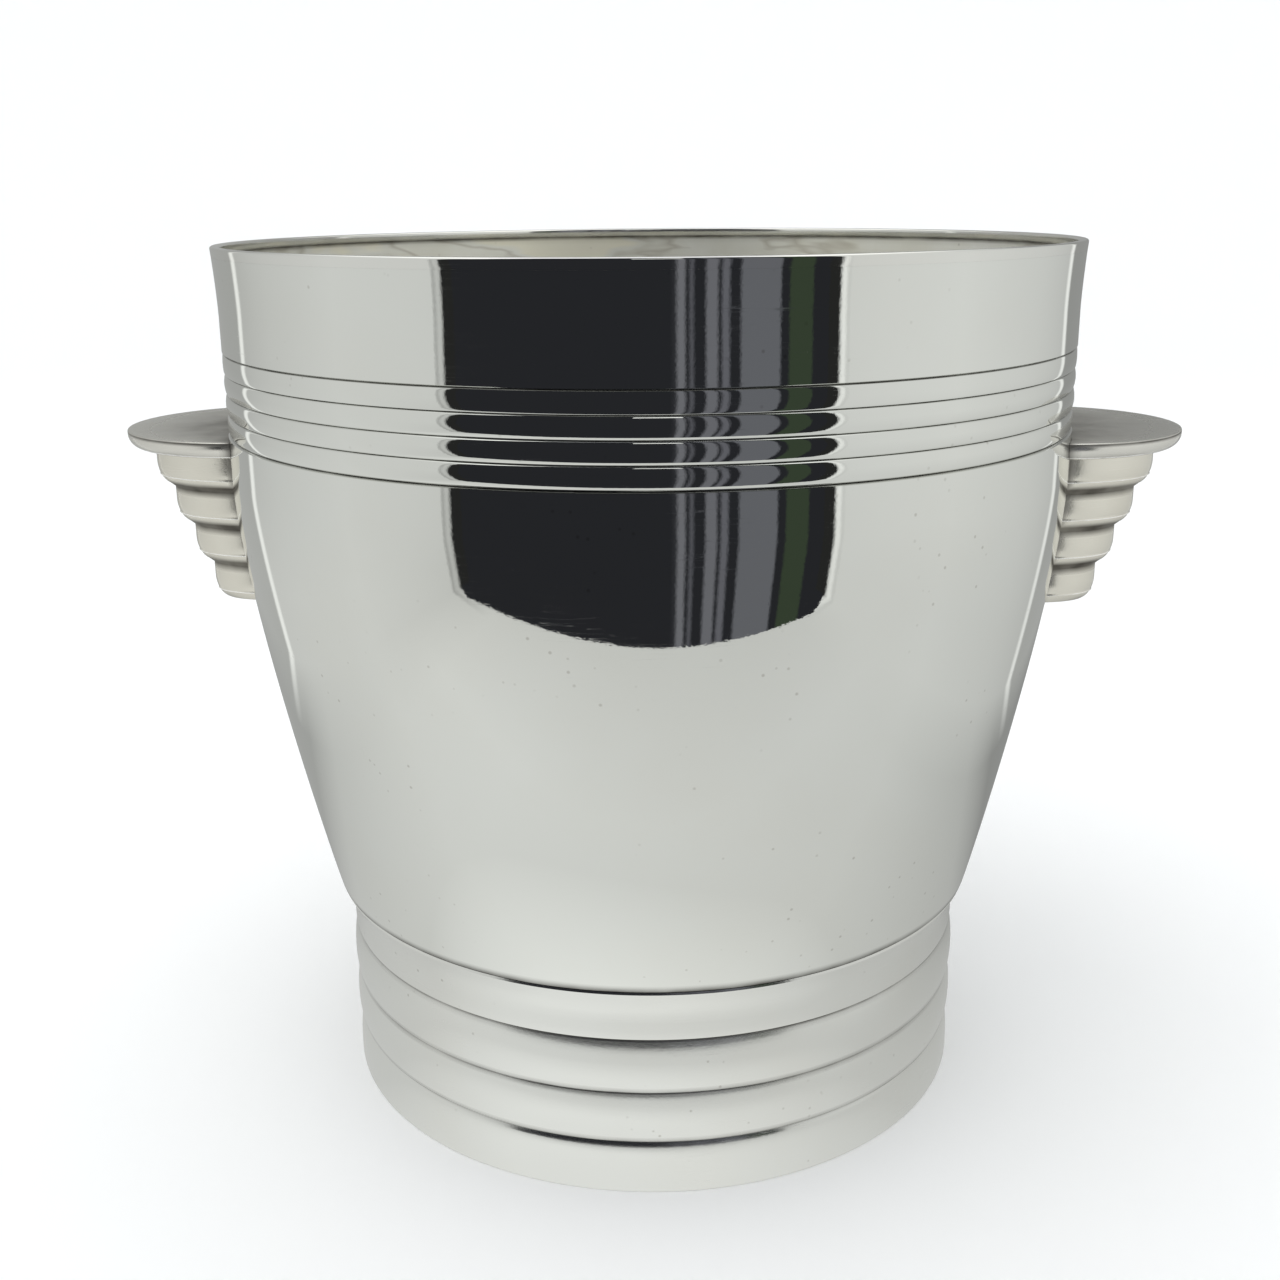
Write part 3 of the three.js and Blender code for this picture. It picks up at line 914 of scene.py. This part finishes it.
def make_tent_wall(label, x, low, high):
    """One side wall of the tent."""
    roof = [(-1.0, ROOF_GREY), (1.0, ROOF_GREY)]
    columns = [(WALL_LOW_Z, low), (WALL_HIGH_Z, high), (ROOF_START_Z, high), (ROOF_Z, roof)]
    front, back, top = TENT_FRONT_Y, TENT_BACK_Y, TENT_TOP_Z
    corners = [(x, front, 0), (x, back, 0), (x, back, top), (x, front, top)]
    card(f"tent_{label}", corners, glow(f"tent {label} wall", columns, "Y"))


def make_table():
    """The cloth that the bucket stands on, as the silver sees it."""
    front_edge = []
    for i in range(TABLE_EDGE_STEPS + 1):
        x = LEFT_WALL_X + (RIGHT_WALL_X - LEFT_WALL_X) * i / TABLE_EDGE_STEPS
        bowed = TABLE_FRONT_Y + TABLE_FRONT_BOW * (x - TABLE_BOW_X) ** 2
        from_wall = min(x - LEFT_WALL_X, RIGHT_WALL_X - x)
        corner = TENT_EDGE_Y + TABLE_CORNER_SLOPE * from_wall
        front_edge.append((x, min(bowed, corner), 0))
    side = TABLE_HALF_WIDTH
    others = [
        (side, front_edge[-1][1], 0), (side, BACK_CARD_Y, 0),
        (-side, BACK_CARD_Y, 0), (-side, front_edge[0][1], 0),
    ]
    columns = [(LEFT_WALL_X, LEFT_WALL_LOW)]
    columns += [(x, TABLE_LEFT) for x in TABLE_LEFT_X]
    columns += [(x, TABLE_RIGHT) for x in TABLE_RIGHT_X]
    columns += [(RIGHT_WALL_X, RIGHT_WALL_LOW)]
    card("table_card", front_edge + others, glow("table", columns, "Y", "X", TABLE_POOL))


def make_room():
    """The dark room beyond the tent's opening, with a curtain in folds and a lamp."""
    width = (-ROOM_HALF_WIDTH, ROOM_HALF_WIDTH)
    curtain = [(-ROOM_HALF_WIDTH, ROOM_COLOUR)]
    for start, stop, colour in FOLDS:
        curtain += [(start, ROOM_COLOUR), (start + FOLD_EDGE, colour)]
        curtain += [(stop - FOLD_EDGE, colour), (stop, ROOM_COLOUR)]
    curtain += [(ROOM_HALF_WIDTH, ROOM_COLOUR)]
    corners = upright(ROOM_Y, width, (ROOM_BOTTOM_Z, TENT_TOP_Z))
    card("curtain", corners, glow("dark room and curtain", [(0, curtain)], "X"))
    left, right = width
    ceiling = [
        (left, ROOM_Y, TENT_TOP_Z), (right, ROOM_Y, TENT_TOP_Z),
        (right, TENT_FRONT_Y, TENT_TOP_Z), (left, TENT_FRONT_Y, TENT_TOP_Z),
    ]
    card("dark_ceiling", ceiling, even_glow("dark ceiling", ROOM_COLOUR))
    card("lamp_card", upright(LAMP_Y, LAMP_X, LAMP_Z), even_glow("lamp", 1.0))


def make_back_wall():
    """The wall behind the bucket."""
    corners = upright(BACK_CARD_Y, (-BACK_HALF_WIDTH, BACK_HALF_WIDTH), (0, BACK_TOP_Z))
    card("back_card", corners, glow("back wall", [(0, BACK_RUN)], "X"))


def area_light(name, place, size, power):
    """A round soft lamp that points at the bucket and does not show in the silver."""
    data = bpy.data.lights.new(name, "AREA")
    data.shape = "DISK"
    data.size = size
    data.energy = power
    lamp = bpy.data.objects.new(name, data)
    lamp.location = place
    aim = Vector(LAMP_AIM) - Vector(place)
    lamp.rotation_euler = aim.to_track_quat("-Z", "Y").to_euler()
    lamp.visible_glossy = False
    bpy.context.scene.collection.objects.link(lamp)


def make_sky():
    """Even soft light from all round."""
    world = bpy.data.worlds.new("soft light")
    world.use_nodes = True
    background = world.node_tree.nodes["Background"]
    background.inputs["Color"].default_value = SKY_COLOUR
    background.inputs["Strength"].default_value = SKY_STRENGTH
    bpy.context.scene.world = world


make_floor()
make_tent_wall("left", LEFT_WALL_X, LEFT_WALL_LOW, LEFT_WALL_HIGH)
make_tent_wall("right", RIGHT_WALL_X, RIGHT_WALL_LOW, RIGHT_WALL_HIGH)
make_table()
make_room()
make_back_wall()
area_light("top_light", place=(-0.5, -0.4, 1.7), size=1.4, power=6.0)
make_sky()
bpy.context.scene.view_settings.view_transform = "Standard"

# ---- camera ----------------------------------------------------------------------

CAMERA_DISTANCE = 0.3743
CAMERA_HEIGHT = 0.2164
CAMERA_TILT = math.radians(16.36)
CAMERA_YAW = math.radians(0.423)
CAMERA_ROLL = math.radians(-0.5)
LENS = 43.26  # in millimetres, as is the sensor's width
SENSOR_WIDTH = 36.0

camera_data = bpy.data.cameras.new("camera")
camera_data.lens = LENS
camera_data.sensor_width = SENSOR_WIDTH
camera = bpy.data.objects.new("camera", camera_data)
camera.matrix_world = (
    Matrix.Rotation(STUDIO_TURN, 4, "Z")
    @ Matrix.Translation((0, -CAMERA_DISTANCE, CAMERA_HEIGHT))
    @ Matrix.Rotation(CAMERA_YAW, 4, "Z")
    @ Matrix.Rotation(math.pi / 2 - CAMERA_TILT, 4, "X")
    @ Matrix.Rotation(CAMERA_ROLL, 4, "Z")
)
bpy.context.scene.collection.objects.link(camera)
bpy.context.scene.camera = camera
